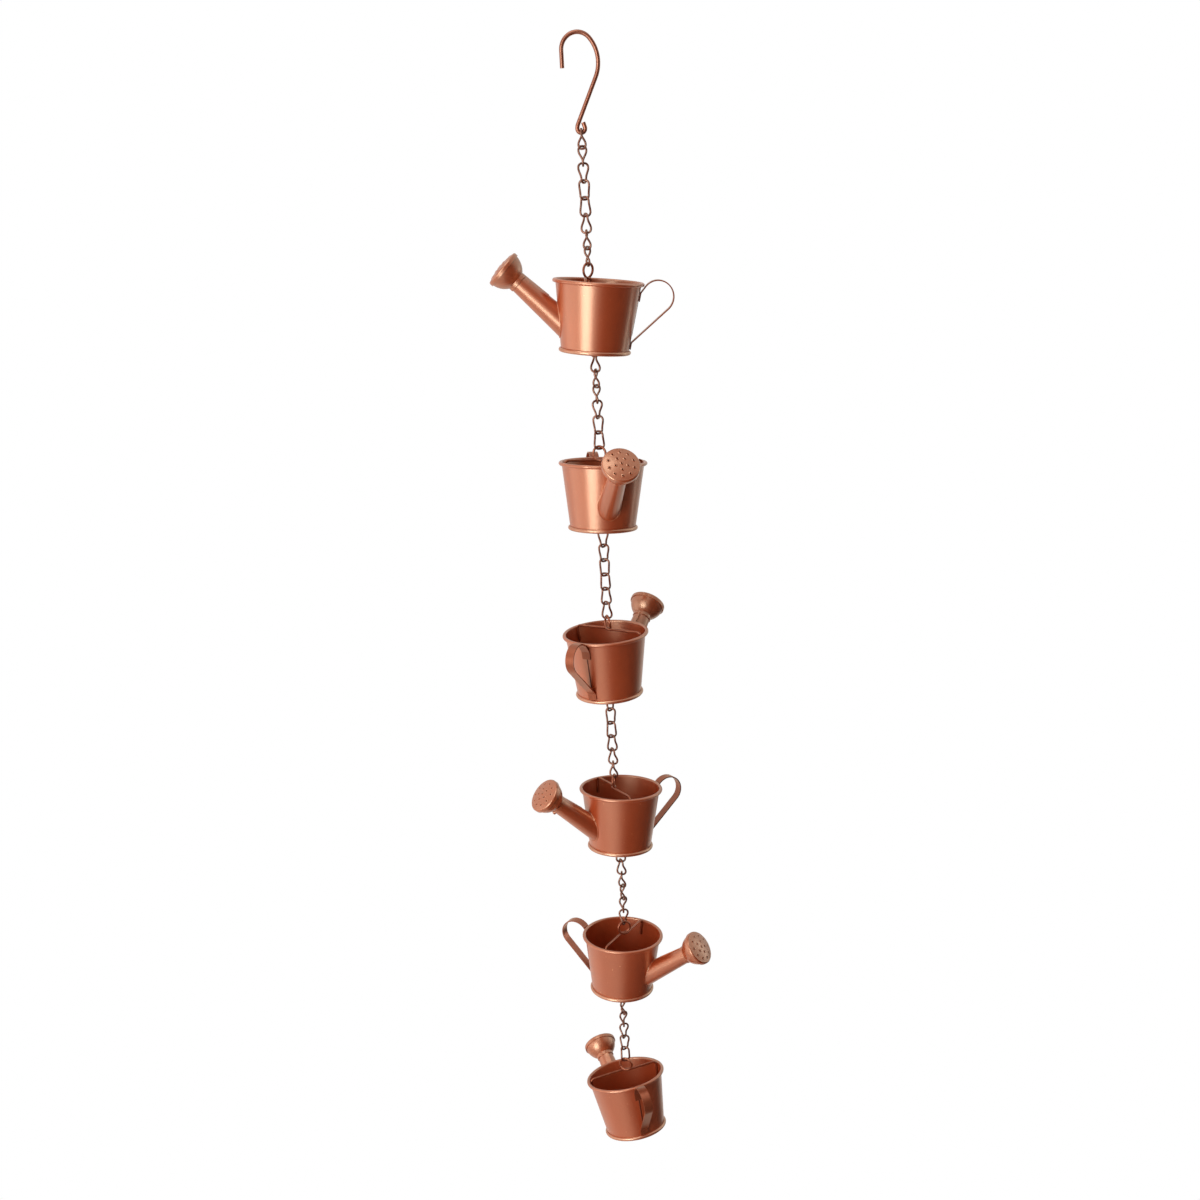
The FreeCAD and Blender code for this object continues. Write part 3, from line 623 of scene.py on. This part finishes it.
def surround():
    world = bpy.data.worlds.new("studio")
    nodes = Nodes(world)
    light = nodes.add("ShaderNodeBackground", {"Color": WHITE, "Strength": AMBIENT_LEVEL})
    direction = nodes.add("ShaderNodeTexCoord").outputs["Generated"]
    level = studio_level(nodes, direction, SIDE_SCREEN, FRONT_LEVEL)
    shown = nodes.add("ShaderNodeBackground", {"Color": WHITE, "Strength": lit_or_plain(nodes, level)})
    seen = any_ray(nodes, *SEEN_RAYS)
    surface = nodes.blend(seen, light.outputs["Background"], shown.outputs["Background"])
    nodes.add("ShaderNodeOutputWorld", {"Surface": surface})
    bpy.context.scene.world = world


def floor_finish():
    """White that keeps the shadow under the cans and turns to the surround further out."""
    material = bpy.data.materials.new("floor_white")
    nodes = Nodes(material)
    plain = nodes.add("ShaderNodeBsdfDiffuse", {"Color": FLOOR_COLOUR})
    place = nodes.add("ShaderNodeNewGeometry").outputs["Position"]
    flat = nodes.vectors("MULTIPLY", place, (1.0, 1.0, 0.0)).outputs["Vector"]
    away = nodes.vectors("LENGTH", flat).outputs["Value"]
    side = nodes.vectors("NORMALIZE", flat).outputs["Vector"]
    level = studio_level(nodes, side, FLOOR_SCREEN, FLOOR_FRONT_LEVEL)
    glow = nodes.add("ShaderNodeEmission", {"Color": WHITE, "Strength": lit_or_plain(nodes, level)})
    fade = nodes.span(away, *FLOOR_FADE, curve="SMOOTHSTEP")
    share = nodes.maths("MULTIPLY", any_ray(nodes, *SEEN_RAYS), fade)
    surface = nodes.blend(share, plain.outputs["BSDF"], glow.outputs["Emission"])
    nodes.add("ShaderNodeOutputMaterial", {"Surface": surface})
    return material


def pale_floor():
    sides = ((-1, -1), (1, -1), (1, 1), (-1, 1))
    corners = [(FLOOR_REACH * x, FLOOR_REACH * y, FLOOR_HEIGHT) for x, y in sides]
    mesh = bpy.data.meshes.new("floor")
    mesh.from_pydata(corners, [], [(0, 1, 2, 3)])
    mesh.materials.append(floor_finish())
    floor = bpy.data.objects.new("floor", mesh)
    bpy.context.scene.collection.objects.link(floor)


# Each lamp: where it stands, where it aims, its width and height, and its power in watts
SOFTBOXES = {
    "left_softbox": ((-1.31, -2.01, -0.38), (0.0, 0.0, -0.45), 1.3, 1.85, 48.0),
    "left_fill": ((-2.2, -0.2, -0.60), (0.0, 0.0, -0.50), 1.8, 1.6, 6.5),
    "right_softbox": ((2.1, 0.9, -0.50), (0.0, 0.0, -0.40), 0.40, 1.6, 3.2),
    "top_softbox": ((-0.5, -0.6, 1.6), (0.0, 0.0, -0.5), 1.6, 1.2, 14.0),
}


def softbox(name, place, aim, width, height, power):
    light = bpy.data.lights.new(name, "AREA")
    light.shape = "RECTANGLE"
    light.size = width
    light.size_y = height
    light.energy = power
    lamp = bpy.data.objects.new(name, light)
    lamp.location = place
    lamp.rotation_euler = (Vector(aim) - Vector(place)).to_track_quat("-Z", "Y").to_euler()
    bpy.context.scene.collection.objects.link(lamp)


surround()
pale_floor()
for name, setting in SOFTBOXES.items():
    softbox(name, *setting)


# The camera of the photograph: in front, level with the first run of chain and looking down
CAMERA_PLACE = Vector((-0.00361, -1.39671, -0.11296))
CAMERA_YAW = -0.0068
CAMERA_PITCH = 0.3504
CAMERA_ROLL = -0.0538
CAMERA_NEAREST = 0.01
# Sizes in the photograph's pixels, and the sensor's width in millimetres
FOCAL_PIXELS = 1628.5
AXIS_PIXEL_Y = 783.0
FRAME_PIXELS = 1200.0
SENSOR = 36.0


def add_camera():
    ahead = Vector((math.sin(CAMERA_YAW) * math.cos(CAMERA_PITCH),
                    math.cos(CAMERA_YAW) * math.cos(CAMERA_PITCH), -math.sin(CAMERA_PITCH)))
    right = ahead.cross(Vector((0, 0, 1))).normalized()
    up = right.cross(ahead)
    across = math.cos(CAMERA_ROLL) * right + math.sin(CAMERA_ROLL) * up
    upward = math.cos(CAMERA_ROLL) * up - math.sin(CAMERA_ROLL) * right
    data = bpy.data.cameras.new("camera")
    data.sensor_fit = "HORIZONTAL"
    data.sensor_width = SENSOR
    data.lens = FOCAL_PIXELS / FRAME_PIXELS * SENSOR
    data.shift_y = (AXIS_PIXEL_Y - FRAME_PIXELS / 2) / FRAME_PIXELS
    data.clip_start = CAMERA_NEAREST
    camera = bpy.data.objects.new("camera", data)
    turn = Matrix((across, upward, -ahead)).transposed()
    camera.matrix_world = Matrix.Translation(CAMERA_PLACE) @ turn.to_4x4()
    bpy.context.scene.collection.objects.link(camera)
    bpy.context.scene.camera = camera


add_camera()
bpy.context.scene.view_settings.view_transform = "Standard"
